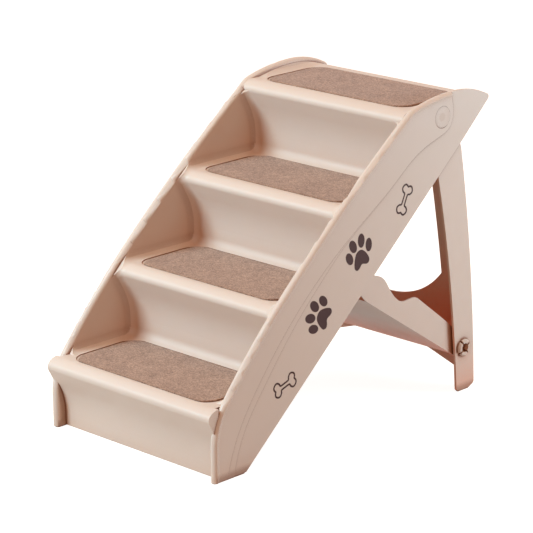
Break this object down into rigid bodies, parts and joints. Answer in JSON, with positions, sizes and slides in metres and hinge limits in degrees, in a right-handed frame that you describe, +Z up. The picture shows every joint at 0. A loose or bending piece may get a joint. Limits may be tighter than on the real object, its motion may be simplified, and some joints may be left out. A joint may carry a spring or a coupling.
{
  "type": "foldable pet stairs",
  "caption": "Moulded plastic folding pet stairs with felt tread mats, side walls, a hinged rear leg frame and a hinged brace that hooks under the stairs.",
  "frame": {"origin": "centre of the bounding box on the floor", "axes": "+X the right side seen from the front, +Y rearwards in the climbing direction, +Z up"},
  "size_m": [0.366, 0.6215, 0.4999],
  "materials": {
    "shell_plastic": "fine moulded satin",
    "leg_plastic": "fine moulded satin",
    "mat_felt": "needle-punched felt",
    "pin_plastic": "satin",
    "clip_steel": "spring steel",
    "pad_rubber": "soft matte"
  },
  "bodies": {
    "stairs": {"stair_shell": "shell_plastic", "tread_mat_1": "mat_felt", "tread_mat_2": "mat_felt", "tread_mat_3": "mat_felt", "tread_mat_4": "mat_felt", "pivot_pin_right": "pin_plastic", "pivot_pin_left": "pin_plastic", "pin_retainer_right": "clip_steel", "pin_retainer_left": "clip_steel", "front_foot_pad_right": "pad_rubber", "front_foot_pad_left": "pad_rubber"},
    "leg": {"leg_frame": "leg_plastic", "rear_foot_pad_right": "pad_rubber", "rear_foot_pad_left": "pad_rubber"},
    "brace": {"brace_panel": "leg_plastic", "brace_stud_right": "pin_plastic", "brace_stud_left": "pin_plastic"}
  },
  "joints": [
    {"name": "leg_fold", "type": "hinge", "parent": "stairs", "child": "leg", "pos_m": [0, 0.19925, 0.4632], "axis": [-1, 0, 0], "range_deg": [0, 46]},
    {"name": "brace_fold", "type": "hinge", "parent": "leg", "child": "brace", "pos_m": [0, 0.25824, 0.0732], "axis": [1, 0, 0], "range_deg": [0, 120.52]}
  ],
  "couplings": [
    {"joint": "brace_fold", "follows": "leg_fold", "ratio": 2.62}
  ]
}
